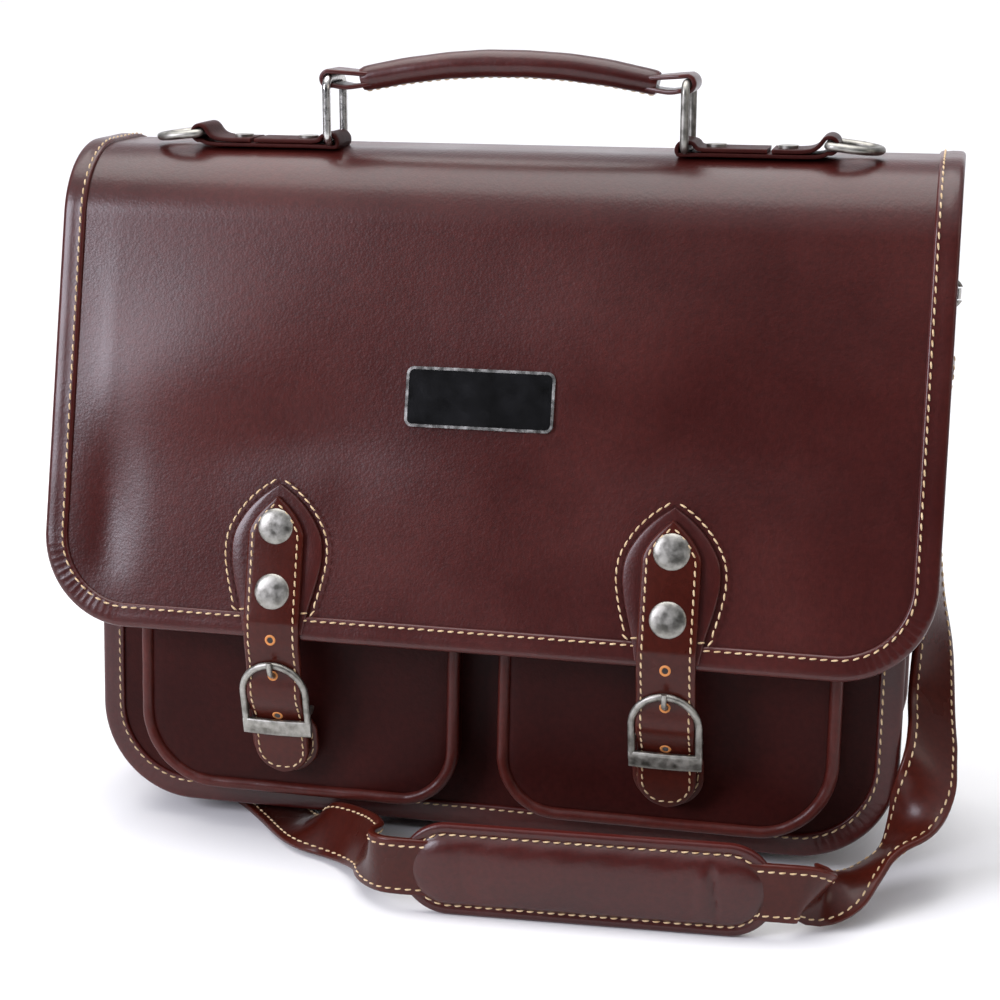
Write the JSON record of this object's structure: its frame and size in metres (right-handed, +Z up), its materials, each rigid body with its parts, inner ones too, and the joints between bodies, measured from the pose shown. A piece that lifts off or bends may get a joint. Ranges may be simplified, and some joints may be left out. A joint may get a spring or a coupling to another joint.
{
  "type": "satchel bag",
  "caption": "Leather briefcase satchel with a wide flap, buckled strap closures over front pockets, a top handle and a padded shoulder strap.",
  "frame": {"origin": "centre of the middle foot's underside, at floor level", "axes": "+Z up, +X along the bag's width, -Y towards the front flap"},
  "size_m": [0.3993, 0.1807, 0.3442],
  "materials": {
    "burgundy_leather": "glossy",
    "dark_leather": "glossy",
    "trim_leather": "glossy",
    "lining_cloth": "matte",
    "board": "matte",
    "pewter": "antique",
    "bright_steel": "satin",
    "black_gloss": "gloss"
  },
  "bodies": {
    "bag_body": {"front_panel": "dark_leather", "front_binding": "trim_leather", "back_panel": "burgundy_leather", "back_binding": "trim_leather", "gusset": "dark_leather", "lining": "lining_cloth", "side_rivets": "pewter", "base_feet": "pewter", "snap_sockets": "pewter", "base_board": "board", "divider": "board", "left_pocket_face": "dark_leather", "left_pocket_gusset": "dark_leather", "left_pocket_piping": "trim_leather", "left_side_tab": "burgundy_leather", "left_side_ring": "pewter", "right_pocket_face": "dark_leather", "right_pocket_gusset": "dark_leather", "right_pocket_piping": "trim_leather", "right_side_tab": "burgundy_leather", "right_side_ring": "pewter"},
    "flap_top": {"flap_top_panel": "burgundy_leather", "flap_top_binding": "trim_leather", "top_stiffener": "board", "chape_rivets": "pewter", "left_chape": "burgundy_leather", "right_chape": "burgundy_leather"},
    "flap_front": {"flap_front_panel": "burgundy_leather", "flap_front_binding": "trim_leather", "name_plate_frame": "pewter", "name_plate_face": "black_gloss", "left_strap_patch": "burgundy_leather", "left_strap_upper": "burgundy_leather", "left_strap_rivets": "pewter", "right_strap_patch": "burgundy_leather", "right_strap_upper": "burgundy_leather", "right_strap_rivets": "pewter"},
    "left_closure": {"left_strap_lower": "burgundy_leather", "left_closure_tab": "burgundy_leather", "left_snap_stud": "pewter", "left_buckle_frame": "pewter", "left_prong": "pewter"},
    "right_closure": {"right_strap_lower": "burgundy_leather", "right_closure_tab": "burgundy_leather", "right_snap_stud": "pewter", "right_buckle_frame": "pewter", "right_prong": "pewter"},
    "left_handle_ring": {"left_handle_ring": "bright_steel"},
    "handle": {"handle_grip": "burgundy_leather", "handle_core": "burgundy_leather"},
    "right_handle_ring": {"right_handle_ring": "bright_steel"},
    "left_dee_ring": {"left_dee_ring": "pewter"},
    "right_dee_ring": {"right_dee_ring": "pewter"},
    "shoulder_strap": {"shoulder_strap": "burgundy_leather", "left_hook": "pewter", "right_hook": "pewter"},
    "left_hook_gate": {"left_hook_gate": "pewter"},
    "right_hook_gate": {"right_hook_gate": "pewter"},
    "shoulder_pad": {"shoulder_pad": "burgundy_leather", "shoulder_pad_back": "burgundy_leather"}
  },
  "joints": [
    {"name": "flap_top_hinge", "type": "hinge", "parent": "bag_body", "child": "flap_top", "pos_m": [0, 0.052, 0.27565], "axis": [-1, 0, 0], "range_deg": [0, 170]},
    {"name": "flap_front_hinge", "type": "hinge", "parent": "flap_top", "child": "flap_front", "pos_m": [0, -0.03987, 0.26989], "axis": [-1, 0, 0], "range_deg": [0, 110]},
    {"name": "left_closure_hinge", "type": "hinge", "parent": "flap_front", "child": "left_closure", "pos_m": [-0.085, -0.08848, 0.10318], "axis": [-1, 0, 0], "range_deg": [0, 30]},
    {"name": "right_closure_hinge", "type": "hinge", "parent": "flap_front", "child": "right_closure", "pos_m": [0.085, -0.08848, 0.10318], "axis": [-1, 0, 0], "range_deg": [0, 30]},
    {"name": "left_handle_ring_hinge", "type": "hinge", "parent": "flap_top", "child": "left_handle_ring", "pos_m": [-0.0777, -0.003, 0.3045], "axis": [0, 1, 0], "range_deg": [-50, 50]},
    {"name": "handle_hinge", "type": "hinge", "parent": "left_handle_ring", "child": "handle", "pos_m": [-0.0777, -0.003, 0.3316], "axis": [0, 1, 0], "range_deg": [-50, 50]},
    {"name": "right_handle_ring_hinge", "type": "hinge", "parent": "handle", "child": "right_handle_ring", "pos_m": [0.0777, -0.003, 0.3316], "axis": [0, 1, 0], "range_deg": [-50, 50]},
    {"name": "left_dee_ring_hinge", "type": "hinge", "parent": "flap_top", "child": "left_dee_ring", "pos_m": [-0.1375, -0.003, 0.3075], "axis": [0, 1, 0], "range_deg": [0, 110]},
    {"name": "right_dee_ring_hinge", "type": "hinge", "parent": "flap_top", "child": "right_dee_ring", "pos_m": [0.1375, -0.003, 0.3075], "axis": [0, -1, 0], "range_deg": [0, 110]},
    {"name": "shoulder_strap_swing", "type": "hinge", "parent": "bag_body", "child": "shoulder_strap", "pos_m": [0, 0, 0.2635], "axis": [-1, 0, 0], "range_deg": [0, 8]},
    {"name": "left_hook_gate_hinge", "type": "hinge", "parent": "shoulder_strap", "child": "left_hook_gate", "pos_m": [-0.19286, 0, 0.24413], "axis": [0, 1, 0], "range_deg": [0, 25]},
    {"name": "right_hook_gate_hinge", "type": "hinge", "parent": "shoulder_strap", "child": "right_hook_gate", "pos_m": [0.19286, 0, 0.24413], "axis": [0, -1, 0], "range_deg": [0, 25]},
    {"name": "shoulder_pad_slide", "type": "slide", "parent": "shoulder_strap", "child": "shoulder_pad", "axis": [0.9985, 0.0551, 0], "range_m": [-0.008, 0.008]}
  ],
  "couplings": [
    {"joint": "handle_hinge", "follows": "left_handle_ring_hinge", "ratio": -1},
    {"joint": "right_handle_ring_hinge", "follows": "left_handle_ring_hinge", "ratio": 1}
  ]
}
